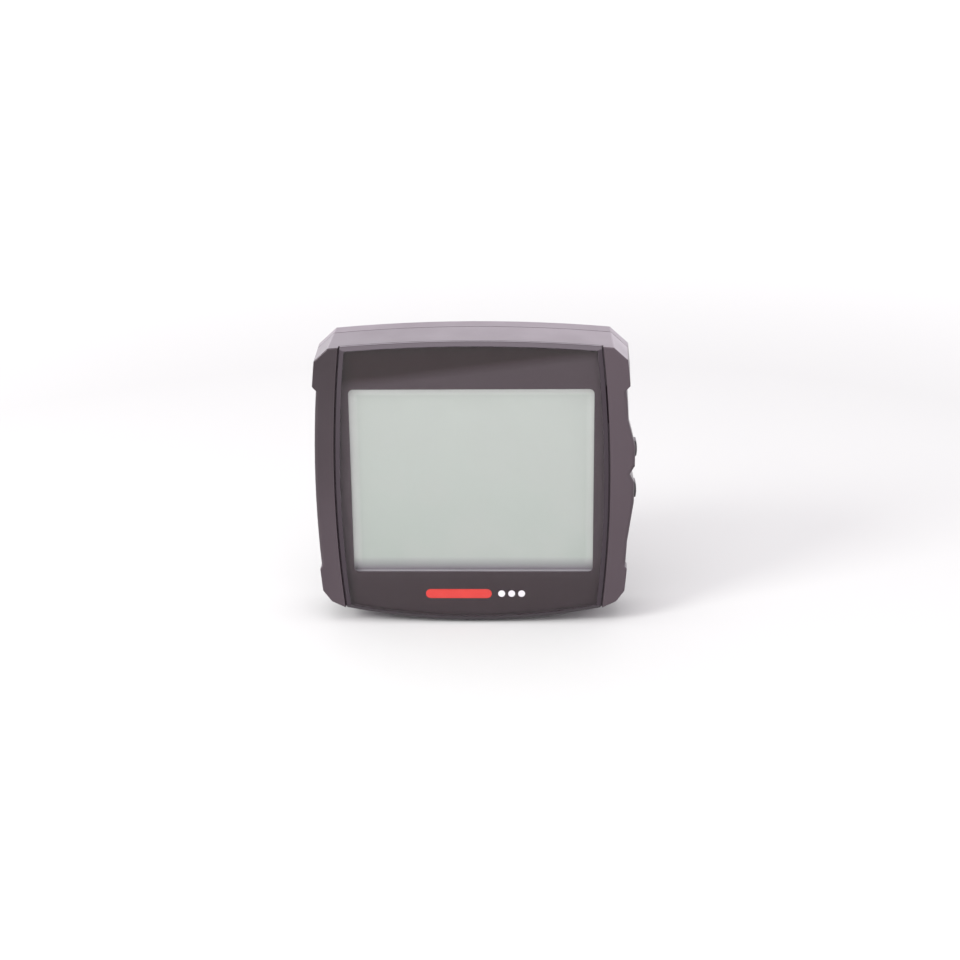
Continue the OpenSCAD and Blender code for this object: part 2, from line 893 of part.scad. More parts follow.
// Flat can with round ends
module quartz_crystal() {
  can_h = 3.4;
  color([0.78, 0.79, 0.8]) translate([0, part_side_y, 0]) along_y(0, can_h)
    translate(crystal_at) obround(11, 4.4);
}

// Electrolytic capacitors: a can on a square foot
module filter_capacitors() {
  foot_w = 6.6;
  foot_h = 0.8;
  can_r = 3.1;
  can_h = 5.6;
  color([0.75, 0.76, 0.78]) for (place = capacitors_at) on_board(place) {
    block([-foot_w / 2, 0, -foot_w / 2], [foot_w / 2, foot_h, foot_w / 2]);
    rod_y(0, 0, can_r, foot_h / 2, can_h);
  }
}

// Columns and rows of small two-terminal parts, from a corner at x and z
module part_rows(x, z, columns, rows, pitch) {
  part_w = 2;
  part_h = 1.2;
  part_t = 0.6;
  for (i = [0:columns - 1], j = [0:rows - 1])
    translate([x + pitch * i, part_side_y, z + pitch * j]) cube([part_w, part_t, part_h]);
}

module chip_parts() {
  color([0.6, 0.5, 0.35]) {
    part_rows(-32, 20, 6, 2, 3);
    part_rows(18, 14, 5, 3, 3.2);
    part_rows(-34, -24, 1, 4, 3);
  }
}

// Shrouded connector on the board, where the wiring plugs in below the grommet
module wire_header() {
  w = header_count * header_pitch + 2.4;
  h = 5.2;
  top_y = 3.9;
  base_t = 1;
  shell = 0.75;
  pin_play = 0.03;
  color([0.93, 0.91, 0.84]) on_board([0, header_z]) difference() {
    block([-w / 2, 0, -h / 2], [w / 2, top_y, h / 2]);
    block([-w / 2 + shell, base_t, -h / 2 + shell], [w / 2 - shell, top_y + cut, h / 2 - shell]);
    header_row(-cut, base_t + cut, pin_w + 2 * pin_play);
  }
}

module header_pins() {
  pin_len = 3.4;
  color([0.8, 0.68, 0.35]) on_board([0, header_z]) header_row(0, pin_len, pin_w);
}

// Row of square pins, between two heights over the board
module header_row(y0, y1, w) {
  for (i = [0:header_count - 1]) {
    x = (i - (header_count - 1) / 2) * header_pitch;
    block([x - w / 2, y0, -w / 2], [x + w / 2, y1, w / 2]);
  }
}

// ---------- buttons ----------

// Right-angle switches on the board, each with two feet and a well for its plunger
module switch_housings() {
  half = switch_size / 2;
  back_x = switch_x - switch_t;
  foot_x = [back_x + 0.4, back_x + 1];
  foot_y = [half - 0.1, board_y - button_y - touch];
  foot_z = 2.2;
  foot_w = 0.7;
  well_x = collar_x - button_travel - 0.2;
  well_r = plunger_r + 0.7;
  color([0.1, 0.1, 0.1]) for (z = [select_z, adjust_z]) translate([0, button_y, z])
    difference() {
      union() {
        block([back_x, -half, -half], [switch_x - switch_cover_t - touch, half, half]);
        for (s = [-1, 1])
          block([foot_x[0], foot_y[0], s * foot_z - foot_w / 2],
                [foot_x[1], foot_y[1], s * foot_z + foot_w / 2]);
      }
      along_x(well_x, switch_x + cut) circle(well_r, $fn = small_fn);
    }
}

// Sheet metal cover that holds each plunger in its switch
module switch_covers() {
  play = 0.06;
  color([0.75, 0.76, 0.78]) for (z = [select_z, adjust_z]) translate([0, button_y, z])
    along_x(switch_x - switch_cover_t, switch_x) difference() {
      square(switch_size, center = true);
      circle(plunger_r + play, $fn = small_fn);
    }
}

// Plunger with the collar that keeps it in the switch
module plunger(z) {
  collar_r = plunger_r + 0.5;
  color([0.85, 0.8, 0.25]) translate([0, button_y, z]) {
    along_x(collar_x, plunger_tip_x) circle(plunger_r, $fn = small_fn);
    along_x(collar_x, collar_x + collar_t) circle(collar_r, $fn = small_fn);
  }
}

// Silicone boot: a sealing sheet with a raised middle and a post that presses the switch
module boot(z) {
  color([0.55, 0.56, 0.58]) translate([0, button_y, z]) {
    along_x(boot_x, boot_x + boot_t) button_outline(boot_rim);
    along_x(boot_x, boot_top_x) button_outline(-gap);
    along_x(plunger_tip_x + push_gap, boot_x + boot_t / 2)
      circle(boot_post_r, $fn = small_fn);
  }
}

// Hard button: a domed cap that passes through the wall and a flange that keeps it in
module button(z) {
  crown = 0.35;
  color([0.1, 0.1, 0.11]) translate([0, button_y, z]) {
    along_x(flange_x, cap_x - crown) button_outline(0);
    along_x(cap_x - 2 * crown, cap_x) button_outline(-crown);
    along_x(flange_x, flange_x + flange_t) button_outline(flange_rim);
  }
}

module select_button() {
  button(select_z);
}

module select_boot() {
  boot(select_z);
}

module select_plunger() {
  plunger(select_z);
}

module adjust_button() {
  button(adjust_z);
}

module adjust_boot() {
  boot(adjust_z);
}

module adjust_plunger() {
  plunger(adjust_z);
}

front_case();
rear_case();
case_gasket();
front_lens();
lens_tape();
window_mask();
printed_bar();
printed_dots();
front_polarizer();
lcd_front_glass();
lcd_rear_glass();
rear_polarizer();
diffuser_film();
light_guide();
reflector_film();
display_tray();
backlight_strip();
backlight_leds();
contact_strip();
main_board();
processor_chip();
memory_chip();
voltage_regulator();
quartz_crystal();
filter_capacitors();
chip_parts();
wire_header();
header_pins();
switch_housings();
switch_covers();
select_button();
select_boot();
select_plunger();
adjust_button();
adjust_boot();
adjust_plunger();
case_screws();
board_screws();
mount_inserts();
cable_grommet();
blank_label();
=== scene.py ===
"""Looks of a digital instrument cluster for a motorcycle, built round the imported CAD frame.

The frame's X points to the rider's right, Y away from the rider and Z up, in metres.
The case, the window panel and the small hardware are rebuilt from the frame with rounded
edges, threads and grain. The sealed inner parts keep their CAD shapes and get materials.
"""

import json
import math

import bmesh
import bpy
from mathutils import Matrix, Vector
from mathutils.bvhtree import BVHTree


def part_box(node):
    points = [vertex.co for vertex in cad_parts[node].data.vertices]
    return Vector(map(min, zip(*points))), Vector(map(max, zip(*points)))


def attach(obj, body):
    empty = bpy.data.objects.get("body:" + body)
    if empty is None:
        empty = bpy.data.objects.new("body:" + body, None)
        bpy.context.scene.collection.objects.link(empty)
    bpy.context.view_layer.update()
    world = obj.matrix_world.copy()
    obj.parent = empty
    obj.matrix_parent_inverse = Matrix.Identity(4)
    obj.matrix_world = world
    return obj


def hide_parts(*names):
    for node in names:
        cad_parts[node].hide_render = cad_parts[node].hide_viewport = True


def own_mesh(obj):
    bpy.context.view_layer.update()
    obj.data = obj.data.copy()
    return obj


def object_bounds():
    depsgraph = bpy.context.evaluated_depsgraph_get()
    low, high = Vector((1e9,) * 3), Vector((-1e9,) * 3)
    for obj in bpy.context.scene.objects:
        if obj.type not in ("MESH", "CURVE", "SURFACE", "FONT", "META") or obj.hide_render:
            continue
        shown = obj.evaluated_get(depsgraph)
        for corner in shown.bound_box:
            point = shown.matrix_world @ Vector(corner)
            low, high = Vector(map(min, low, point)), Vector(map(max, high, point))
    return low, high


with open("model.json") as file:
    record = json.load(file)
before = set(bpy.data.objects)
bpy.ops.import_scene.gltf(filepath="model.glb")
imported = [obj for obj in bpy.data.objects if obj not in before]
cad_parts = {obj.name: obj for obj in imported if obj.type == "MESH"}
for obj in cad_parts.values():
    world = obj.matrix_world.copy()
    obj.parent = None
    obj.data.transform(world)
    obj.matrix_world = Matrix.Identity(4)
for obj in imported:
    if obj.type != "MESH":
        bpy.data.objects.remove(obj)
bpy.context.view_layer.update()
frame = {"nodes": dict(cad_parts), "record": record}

MM = 0.001
nodes = frame["nodes"]
slot_of = {part["node"]: part["material_slot"] for part in frame["record"]["subparts"]}
body_of = {node: body for body, members in frame["record"]["behaviour"]["bodies"].items()
           for node in members}


# ---------- camera ----------

def add_camera():
    """Camera in front of the window, above it and slightly to the right."""
    azimuth = math.radians(1.89)
    elevation = math.radians(18)
    roll = math.radians(-0.65)
    distance = 474.3 * MM
    sensor = 36
    focal_length = 62.6
    front_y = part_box("front_lens")[0].y
    target = Vector((2.3 * MM, front_y, 0.7 * MM))
    back = Vector((math.sin(azimuth) * math.cos(elevation),
                   -math.cos(azimuth) * math.cos(elevation),
                   math.sin(elevation)))
    level_right = Vector((math.cos(azimuth), math.sin(azimuth), 0))
    level_up = back.cross(level_right)
    right = level_right * math.cos(roll) + level_up * math.sin(roll)
    up = back.cross(right)
    camera = bpy.data.objects.new("camera", bpy.data.cameras.new("camera"))
    camera.data.sensor_width = sensor
    camera.data.lens = focal_length
    camera.data.clip_start = 10 * MM
    camera.matrix_world = Matrix((
        (right.x, up.x, back.x, target.x + back.x * distance),
        (right.y, up.y, back.y, target.y + back.y * distance),
        (right.z, up.z, back.z, target.z + back.z * distance),
        (0, 0, 0, 1),
    ))
    bpy.context.scene.collection.objects.link(camera)
    bpy.context.scene.camera = camera


# ---------- material helpers ----------

def screen(red, green, blue):
    """Shader colour of a screen colour whose values go from 0 to 255."""
    def straight(value):
        share = value / 255
        return share / 12.92 if share <= 0.04045 else ((share + 0.055) / 1.055) ** 2.4
    return (straight(red), straight(green), straight(blue), 1)


def new_material(name):
    """Empty node material and its tree."""
    material = bpy.data.materials.new(name)
    material.use_nodes = True
    material.node_tree.nodes.clear()
    return material, material.node_tree


def add_node(tree, kind, inputs=None, **settings):
    """Node of a kind, with its settings, and with values or links for its inputs."""
    node = tree.nodes.new(kind)
    for key, value in settings.items():
        setattr(node, key, value)
    for key, value in (inputs or {}).items():
        if isinstance(value, bpy.types.NodeSocket):
            tree.links.new(value, node.inputs[key])
        else:
            node.inputs[key].default_value = value
    return node


def object_place(tree):
    """Place on the object, in metres."""
    return add_node(tree, "ShaderNodeTexCoord").outputs["Object"]


def across_and_height(tree):
    """Place across the object (X) and up it (Z), in metres."""
    place = add_node(tree, "ShaderNodeSeparateXYZ", {"Vector": object_place(tree)})
    return place.outputs["X"], place.outputs["Z"]


def noise(tree, size, detail=3, place=None):
    """Cloudy pattern from 0 to 1 whose patches have the given size in metres."""
    return add_node(tree, "ShaderNodeTexNoise",
                    {"Vector": place or object_place(tree), "Scale": 1 / size,
                     "Detail": detail}).outputs["Fac"]


def ramp(tree, value, low, high, out_low=0.0, out_high=1.0):
    """Value brought from one range to another, and held inside it."""
    return add_node(tree, "ShaderNodeMapRange",
                    {"Value": value, "From Min": low, "From Max": high,
                     "To Min": out_low, "To Max": out_high}).outputs["Result"]


def blend_colours(tree, share, first, second):
    """Mix of two colours, or of two colour sockets."""
    # Several sockets of a Mix node share a name, so the colour ones go by number.
    colour_a, colour_b, colour_result = 6, 7, 2
    return add_node(tree, "ShaderNodeMix", {0: share, colour_a: first, colour_b: second},
                    data_type="RGBA").outputs[colour_result]


def maths(tree, operation, first, second=0.0):
    """Result of a calculation with one or two values."""
    return add_node(tree, "ShaderNodeMath", {0: first, 1: second},
                    operation=operation).outputs["Value"]


def bump(tree, height, depth):
    """Normal of a surface with a relief of the given depth in metres."""
    return add_node(tree, "ShaderNodeBump",
                    {"Height": height, "Distance": depth, "Strength": 1.0}).outputs["Normal"]


def show(tree, shader):
    """Makes a shader the surface of its material."""
    output = add_node(tree, "ShaderNodeOutputMaterial")
    tree.links.new(shader.outputs[0], output.inputs["Surface"])


def shade(tree, inputs):
    """Principled shader with the given inputs as the surface of its material."""
    shader = add_node(tree, "ShaderNodeBsdfPrincipled", inputs)
    show(tree, shader)


def surface(name, first, second, patch, rough, grain=None, relief=0.0, **constants):
    """Material of two close colours in soft patches, with uneven roughness and a fine grain."""
    material, tree = new_material(name)
    patches = noise(tree, patch)
    inputs = {
        "Base Color": blend_colours(tree, ramp(tree, patches, 0.35, 0.65), first, second),
        "Roughness": ramp(tree, patches, 0.3, 0.7, rough[0], rough[1]),
    }
    if grain:
        inputs["Normal"] = bump(tree, noise(tree, grain, detail=2), relief)
    inputs.update(constants)
    shade(tree, inputs)
    return material


# ---------- materials ----------

VIOLET_SHINE = (1.0, 0.93, 0.98, 1)


def case_plastic():
    """Dark plastic with a fine grain, and painted shade that darkens it towards the upper left.
    """
    material, tree = new_material("case_plastic")
    across, height = across_and_height(tree)
    slanted = maths(tree, "SUBTRACT", across, height)
    cloud = ramp(tree, noise(tree, 14 * MM), 0.35, 0.65, 0, 0.25)
    # Painted shade: the plastic is darker towards the upper left.
    painted_shade_tone = blend_colours(tree, ramp(tree, slanted, -82 * MM, 0),
                         (0.010, 0.006, 0.007, 1), (0.042, 0.031, 0.036, 1))
    shade(tree, {
        "Base Color": blend_colours(tree, cloud, painted_shade_tone, (0.045, 0.034, 0.040, 1)),
        "Roughness": ramp(tree, noise(tree, 14 * MM), 0.3, 0.7, 0.28, 0.34),
        "Normal": bump(tree, noise(tree, 0.3 * MM, detail=2), 0.003 * MM),
        "IOR": 1.5,
        "Specular Tint": VIOLET_SHINE,
    })
    return material


def cover_plastic():
    return surface("cover_plastic", (0.038, 0.027, 0.033, 1), (0.043, 0.031, 0.037, 1),
                   patch=12 * MM, rough=(0.29, 0.36), grain=0.35 * MM, relief=0.004 * MM,
                   **{"IOR": 1.5, "Specular Tint": VIOLET_SHINE})


def button_plastic():
    return surface("button_plastic", (0.010, 0.008, 0.009, 1), (0.014, 0.011, 0.013, 1),
                   patch=3 * MM, rough=(0.36, 0.44), grain=0.22 * MM, relief=0.004 * MM)


def seal_rubber():
    return surface("seal_rubber", (0.020, 0.020, 0.021, 1), (0.032, 0.031, 0.032, 1),
                   patch=2.5 * MM, rough=(0.62, 0.78), grain=0.3 * MM, relief=0.012 * MM)


def clear_panel():
    """Clear acrylic: a mirror image by Fresnel over what lies behind the panel.

    The bevel and the side walls are painted black behind their polish.
    """
    material, tree = new_material("clear_panel")
    fresnel = add_node(tree, "ShaderNodeFresnel", {"IOR": 1.49}).outputs["Fac"]
    geometry = add_node(tree, "ShaderNodeNewGeometry").outputs
    front = maths(tree, "SUBTRACT", 1.0, geometry["Backfacing"])
    share = maths(tree, "MULTIPLY", fresnel, front)
    clear = add_node(tree, "ShaderNodeBsdfTransparent", {"Color": (0.97, 0.97, 0.97, 1)})
    polish = ramp(tree, noise(tree, 18 * MM), 0.3, 0.7, 0.03, 0.05)
    mirror = add_node(tree, "ShaderNodeBsdfGlossy", {"Roughness": polish})
    glass = add_node(tree, "ShaderNodeMixShader",
                     {0: share, 1: clear.outputs[0], 2: mirror.outputs[0]})
    slant = add_node(tree, "ShaderNodeSeparateXYZ", {"Vector": geometry["True Normal"]})
    upright = maths(tree, "ABSOLUTE", slant.outputs["Y"])
    painted = ramp(tree, upright, 0.975, 0.985, 1, 0)
    paint = add_node(tree, "ShaderNodeBsdfPrincipled", {
        "Base Color": (0.020, 0.012, 0.018, 1),
        "Roughness": ramp(tree, noise(tree, 2 * MM), 0.3, 0.7, 0.16, 0.24),
    })
    show(tree, add_node(tree, "ShaderNodeMixShader",
                        {0: painted, 1: glass.outputs[0], 2: paint.outputs[0]}))
    return material


def foam_tape():
    return surface("foam_tape", (0.012, 0.012, 0.012, 1), (0.022, 0.022, 0.022, 1),
                   patch=2 * MM, rough=(0.8, 0.95), grain=0.25 * MM, relief=0.04 * MM)


def mask_ink():
    """Black ink round the display with a painted reflection: darkest above a slanted line,
    darker towards the foot and paler beside the display.
    """
    material, tree = new_material("mask_ink")
    low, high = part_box("front_polarizer")
    slope = 0.12
    across, height = across_and_height(tree)
    slanted = maths(tree, "SUBTRACT", height, maths(tree, "MULTIPLY", across, slope))
    # Painted reflection: darker above a slanted line near the top and towards the foot.
    painted_reflection_under_line = ramp(tree, slanted, high.z + 3 * MM, high.z + 6.2 * MM, 1, 0)
    painted_reflection_above_foot = ramp(tree, height, low.z - 2 * MM, low.z + 6 * MM, 0.5, 1)
    share = maths(tree, "MULTIPLY", painted_reflection_under_line, painted_reflection_above_foot)
    shade(tree, {
        "Base Color": blend_colours(tree, share, (0.010, 0.003, 0.004, 1),
                                    (0.040, 0.029, 0.034, 1)),
        "Roughness": ramp(tree, noise(tree, 20 * MM), 0.3, 0.7, 0.50, 0.60),
        "Specular IOR Level": 0.1,
    })
    return material


def accent_ink():
    return surface("accent_ink", screen(186, 34, 24), screen(192, 40, 30),
                   patch=4 * MM, rough=(0.4, 0.5), grain=0.2 * MM, relief=0.001 * MM)


def white_ink():
    return surface("white_ink", screen(205, 203, 205), screen(212, 210, 212),
                   patch=4 * MM, rough=(0.4, 0.5), grain=0.2 * MM, relief=0.001 * MM)


def display_face():
    """Reflective display with painted light, paler towards the top, the right and its edges, and
    with a grey border at its foot that fades upward in painted shade.
    """
    material, tree = new_material("display_face")
    low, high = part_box("front_polarizer")
    across, height = across_and_height(tree)
    # Painted light: the display is slightly paler towards the top.
    tint = blend_colours(tree, ramp(tree, height, -24 * MM, 26 * MM),
                         screen(144, 153, 145), screen(150, 157, 150))
    cloud = ramp(tree, noise(tree, 16 * MM), 0.4, 0.6)
    tint = blend_colours(tree, cloud, tint, screen(148, 155, 148))
    # Painted light: paler towards the right and along the left, right and top edges.
    lit = screen(203, 208, 202)
    sideways = ramp(tree, across, low.x, high.x, 0, 0.06)
    left = ramp(tree, across, low.x + 1.1 * MM, low.x + 3.3 * MM, 0.74, 0)
    right = ramp(tree, across, high.x - 3.2 * MM, high.x - 1.2 * MM, 0, 0.30)
    top = ramp(tree, height, high.z - 3.3 * MM, high.z - 1.5 * MM, 0, 0.95)
    for share in (sideways, left, right, top):
        tint = blend_colours(tree, share, tint, lit)
    # Grey border at the foot that fades upward into the display as painted shade.
    border = ramp(tree, height, low.z + 1.3 * MM, low.z + 5 * MM, 1, 0)
    tint = blend_colours(tree, border, tint, screen(102, 99, 104))
    rim = ramp(tree, height, low.z + 0.9 * MM, low.z + 1.2 * MM, 1, 0)
    tint = blend_colours(tree, rim, tint, screen(148, 146, 149))
    shade(tree, {
        "Base Color": tint,
        "Roughness": ramp(tree, noise(tree, 5 * MM), 0.3, 0.7, 0.36, 0.42),
        "Normal": bump(tree, noise(tree, 0.12 * MM, detail=1), 0.001 * MM),
        "IOR": 1.45,
    })
    return material


def display_glass():
    return surface("display_glass", (0.86, 0.93, 0.90, 1), (0.90, 0.95, 0.92, 1),
                   patch=25 * MM, rough=(0.02, 0.05), **{"Transmission Weight": 0.9})


def rear_film():
    return surface("rear_film", (0.60, 0.64, 0.58, 1), (0.66, 0.68, 0.63, 1),
                   patch=3 * MM, rough=(0.28, 0.36), **{"Metallic": 0.3})


def white_film():
    return surface("white_film", (0.86, 0.86, 0.86, 1), (0.91, 0.91, 0.90, 1),
                   patch=8 * MM, rough=(0.5, 0.6), grain=0.2 * MM, relief=0.002 * MM)


def guide_acrylic():
    return surface("guide_acrylic", (0.90, 0.94, 0.92, 1), (0.94, 0.96, 0.95, 1),
                   patch=1.2 * MM, rough=(0.05, 0.2), **{"Transmission Weight": 0.7})


def tray_plastic():
    return surface("tray_plastic", (0.82, 0.82, 0.80, 1), (0.87, 0.87, 0.85, 1),
                   patch=9 * MM, rough=(0.42, 0.52), grain=0.3 * MM, relief=0.005 * MM)


def circuit_board():
    """Green solder resist over a grid of copper tracks."""
    material, tree = new_material("circuit_board")
    place = object_place(tree)
    tracks = add_node(tree, "ShaderNodeTexBrick",
                      {"Vector": place, "Scale": 1 / (12 * MM), "Mortar Size": 0.03,
                       "Color1": (0.020, 0.16, 0.060, 1), "Color2": (0.030, 0.20, 0.080, 1),
                       "Mortar": (0.060, 0.30, 0.120, 1)})
    shade(tree, {
        "Base Color": tracks.outputs["Color"],
        "Roughness": ramp(tree, noise(tree, 6 * MM, place=place), 0.3, 0.7, 0.22, 0.34),
        "Normal": bump(tree, tracks.outputs["Fac"], 0.03 * MM),
    })
    return material


def diode_resin():
    return surface("diode_resin", (0.88, 0.82, 0.42, 1), (0.93, 0.90, 0.62, 1),
                   patch=1 * MM, rough=(0.2, 0.35))


def contact_rubber():
    return surface("contact_rubber", (0.68, 0.34, 0.40, 1), (0.78, 0.46, 0.50, 1),
                   patch=0.6 * MM, rough=(0.55, 0.7))


def chip_resin():
    return surface("chip_resin", (0.018, 0.018, 0.019, 1), (0.034, 0.033, 0.034, 1),
                   patch=1.5 * MM, rough=(0.5, 0.65), grain=0.12 * MM, relief=0.006 * MM)


def tinned_metal():
    return surface("tinned_metal", (0.66, 0.67, 0.69, 1), (0.76, 0.77, 0.78, 1),
                   patch=1.6 * MM, rough=(0.24, 0.4), **{"Metallic": 1.0})


def chip_ceramic():
    return surface("chip_ceramic", (0.40, 0.31, 0.19, 1), (0.52, 0.42, 0.30, 1),
                   patch=0.8 * MM, rough=(0.45, 0.6))


def nylon():
    return surface("nylon", (0.80, 0.77, 0.66, 1), (0.87, 0.85, 0.76, 1),
                   patch=4 * MM, rough=(0.38, 0.5), grain=0.2 * MM, relief=0.004 * MM)


def brass():
    return surface("brass", (0.62, 0.43, 0.17, 1), (0.78, 0.58, 0.27, 1),
                   patch=1.8 * MM, rough=(0.2, 0.36), grain=0.1 * MM, relief=0.003 * MM,
                   **{"Metallic": 1.0})


def silicone():
    return surface("silicone", (0.30, 0.31, 0.33, 1), (0.38, 0.39, 0.41, 1),
                   patch=2 * MM, rough=(0.55, 0.68), grain=0.25 * MM, relief=0.006 * MM)


def plunger_plastic():
    return surface("plunger_plastic", (0.66, 0.60, 0.10, 1), (0.74, 0.68, 0.15, 1),
                   patch=1 * MM, rough=(0.35, 0.45))


def screw_steel():
    return surface("screw_steel", (0.42, 0.42, 0.44, 1), (0.56, 0.56, 0.57, 1),
                   patch=0.9 * MM, rough=(0.22, 0.38), grain=0.08 * MM, relief=0.003 * MM,
                   **{"Metallic": 1.0})


def label_foil():
    """Brushed foil: fine streaks from side to side."""
    material, tree = new_material("label_foil")
    stretched = add_node(tree, "ShaderNodeMapping",
                         {"Vector": object_place(tree), "Scale": (0.04, 1, 1)})
    streaks = noise(tree, 0.25 * MM, place=stretched.outputs["Vector"])
    shade(tree, {
        "Base Color": blend_colours(tree, streaks, (0.34, 0.345, 0.35, 1),
                                    (0.46, 0.465, 0.47, 1)),
        "Roughness": ramp(tree, streaks, 0.3, 0.7, 0.30, 0.44),
        "Metallic": 0.8,
    })
    return material


def floor_paint():
    """White sweep with painted light: grey round the object and paler towards the background."""
    material, tree = new_material("floor_paint")
    distance = add_node(tree, "ShaderNodeVectorMath", {0: object_place(tree)},
                        operation="LENGTH").outputs["Value"]
    # Painted light: the floor grows paler away from the object.
    away = ramp(tree, distance, 300 * MM, 1100 * MM)
    cloud = noise(tree, 300 * MM)
    shade(tree, {
        "Base Color": blend_colours(tree, away, (0.495, 0.508, 0.490, 1),
                                    (0.87, 0.90, 0.86, 1)),
        "Roughness": ramp(tree, cloud, 0.3, 0.7, 0.7, 0.8),
        "Normal": bump(tree, noise(tree, 2 * MM, detail=2), 0.02 * MM),
        "Specular IOR Level": 0.2,
    })
    return material


MAKERS = (
    case_plastic, cover_plastic, button_plastic, seal_rubber, clear_panel, foam_tape,
    mask_ink, accent_ink, white_ink, display_face, display_glass, rear_film, white_film,
    guide_acrylic, tray_plastic, circuit_board, diode_resin, contact_rubber, chip_resin,
    tinned_metal, chip_ceramic, nylon, brass, silicone, plunger_plastic, screw_steel,
    label_foil,
)
materials = {maker.__name__: maker() for maker in MAKERS}


def dress_nodes():
    """Gives every CAD node the material of its slot."""
    for name, node in nodes.items():
        for material_slot in node.material_slots:
            material_slot.material = materials[slot_of[name]]


# ---------- pieces ----------

def add_piece(name, mesh, node):
    """Piece that stands for a CAD node: it rides on its body and takes its slot's material."""
    piece = bpy.data.objects.new(name, mesh)
    bpy.context.scene.collection.objects.link(piece)
    mesh.materials.append(materials[slot_of[node]])
    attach(piece, body_of[node])
    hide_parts(node)
    return piece


def welded(node):
    """Editable copy of a CAD node's mesh, with its seams welded and its flat faces whole."""
    weld_gap = 0.002 * MM
    flat_angle = math.radians(0.2)
    shape = bmesh.new()
    shape.from_mesh(nodes[node].data)
    bmesh.ops.remove_doubles(shape, verts=shape.verts, dist=weld_gap)
    bmesh.ops.dissolve_limit(shape, angle_limit=flat_angle, verts=shape.verts,
                             edges=shape.edges)
    return shape


def is_ridge(edge):
    """True for a sharp edge that points outwards."""
    least_angle = 28
    if len(edge.link_faces) != 2 or not edge.is_convex:
        return False
    return math.degrees(edge.calc_face_angle()) > least_angle


def middle_of(edge):
    """Middle of an edge."""
    return (edge.verts[0].co + edge.verts[1].co) / 2


def outward_from(place):
    """Direction from the Y axis to a place, at a right angle to that axis."""
    return Vector((place.x, 0, place.z)).normalized()


def is_outer_ridge(edge):
    """True for a ridge neither of whose faces looks clearly towards the Y axis."""
    least_outward = -0.2
    outward = outward_from(middle_of(edge))
    return is_ridge(edge) and all(face.normal.dot(outward) > least_outward
                                  for face in edge.link_faces)


def is_enclosed(edge, walls):
    """True where another wall stands between an edge and the outside."""
    clearance = 0.05 * MM
    middle = middle_of(edge)
    outward = outward_from(middle)
    return walls.ray_cast(middle + outward * clearance, outward)[0] is not None


def room_beside(edge):
    """Length of the shortest flat or inward fold that ends on an edge."""
    folds = [other for vert in edge.verts for other in vert.link_edges if not is_ridge(other)]
    return min((fold.calc_length() for fold in folds), default=math.inf)


def add_rounded(name, node, shape, width, weight_of, clamp=False):
    """Piece whose edges are rounded by a width, times the share that weight_of gives each.

    Without clamp, short folds beside an edge limit only its own rounding, and an edge with
    hardly any room stays sharp. With clamp, the shortest edge limits the width everywhere.
    """
    usable = 0.4
    least_share = 0.1
    crease = math.radians(13)
    layer = shape.edges.layers.float.new("bevel_weight_edge")
    for edge in shape.edges:
        share = weight_of(edge)
        room = usable * room_beside(edge) / width if share and not clamp else 1
        edge[layer] = min(share, room) if room > least_share else 0
    for face in shape.faces:
        face.smooth = True
    piece = add_piece(name, bpy.data.meshes.new(name), node)
    shape.to_mesh(piece.data)
    shape.free()
    piece.data.set_sharp_from_angle(angle=crease)
    bevel = piece.modifiers.new("rounding", "BEVEL")
    bevel.limit_method = "WEIGHT"
    bevel.width = width
    bevel.segments = 3
    bevel.use_clamp_overlap = clamp
    bevel.miter_outer = "MITER_ARC"
    bevel.vmesh_method = "CUTOFF"
    weigh = piece.modifiers.new("flat faces", "WEIGHTED_NORMAL")
    weigh.keep_sharp = True


def add_front_case():
    """Front shell: softly rounded rails, and small radii on its other outer edges."""
    node = "front_case"
    wide = 0.9 * MM
    small_share = 0.3
    near = 0.01 * MM
    least_len = 0.2 * MM
    low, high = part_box(node)
    rail_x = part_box("front_lens")[1].x + 3 * MM
    ear_low_z = -25 * MM
    ear_high_z = 26 * MM
    parting_y = high.y - 1 * MM
    shape = welded(node)
    walls = BVHTree.FromBMesh(shape)

    def weight(edge):
        middle = middle_of(edge)
        if edge.calc_length() < least_len or middle.y > parting_y or not is_outer_ridge(edge):
            return 0
        on_front = all(abs(vert.co.y - low.y) < near for vert in edge.verts)
        if not on_front and is_enclosed(edge, walls):
            return 0
        between_ears = ear_low_z < middle.z < ear_high_z
        on_rail = abs(middle.x) > rail_x
        return 1 if on_front and on_rail and between_ears else small_share

    add_rounded("front_shell", node, shape, wide, weight)


def add_rear_case():
    """Rear cover with small radii round its walls, its bosses and its back face."""
    node = "rear_case"
    wide = 0.25 * MM
    low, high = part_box(node)
    back_y = high.y - 2 * MM
    parting_y = low.y + 1 * MM

    def weight(edge):
        middle = middle_of(edge)
        if middle.y < parting_y:
            return 0
        return 1 if is_outer_ridge(edge) or (middle.y > back_y and is_ridge(edge)) else 0

    add_rounded("rear_shell", node, welded(node), wide, weight)


def add_rounded_copy(name, node, width):
    """Copy of a CAD node whose ridges are all rounded by one width."""
    add_rounded(name, node, welded(node), width, is_ridge)


def screw_centres(node, head_r):
    """Places of four screws, as (x, z), from the box round their heads."""
    low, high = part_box(node)
    return [(x, z) for x in (low.x + head_r, high.x - head_r)
            for z in (low.z + head_r, high.z - head_r)]


def add_case_screws():
    """Case screws with domed heads and a softened cross recess."""
    node = "case_screws"
    head_r = 2.7 * MM
    dome = 0.7 * MM
    rim_r = 0.8 * head_r
    recess_share = 0.12
    centres = screw_centres(node, head_r)

    def weight(edge):
        if not is_ridge(edge):
            return 0
        middle = middle_of(edge)
        radius = min(math.hypot(middle.x - x, middle.z - z) for x, z in centres)
        return 1 if radius > rim_r else recess_share

    add_rounded("case_screw_set", node, welded(node), dome, weight, clamp=True)


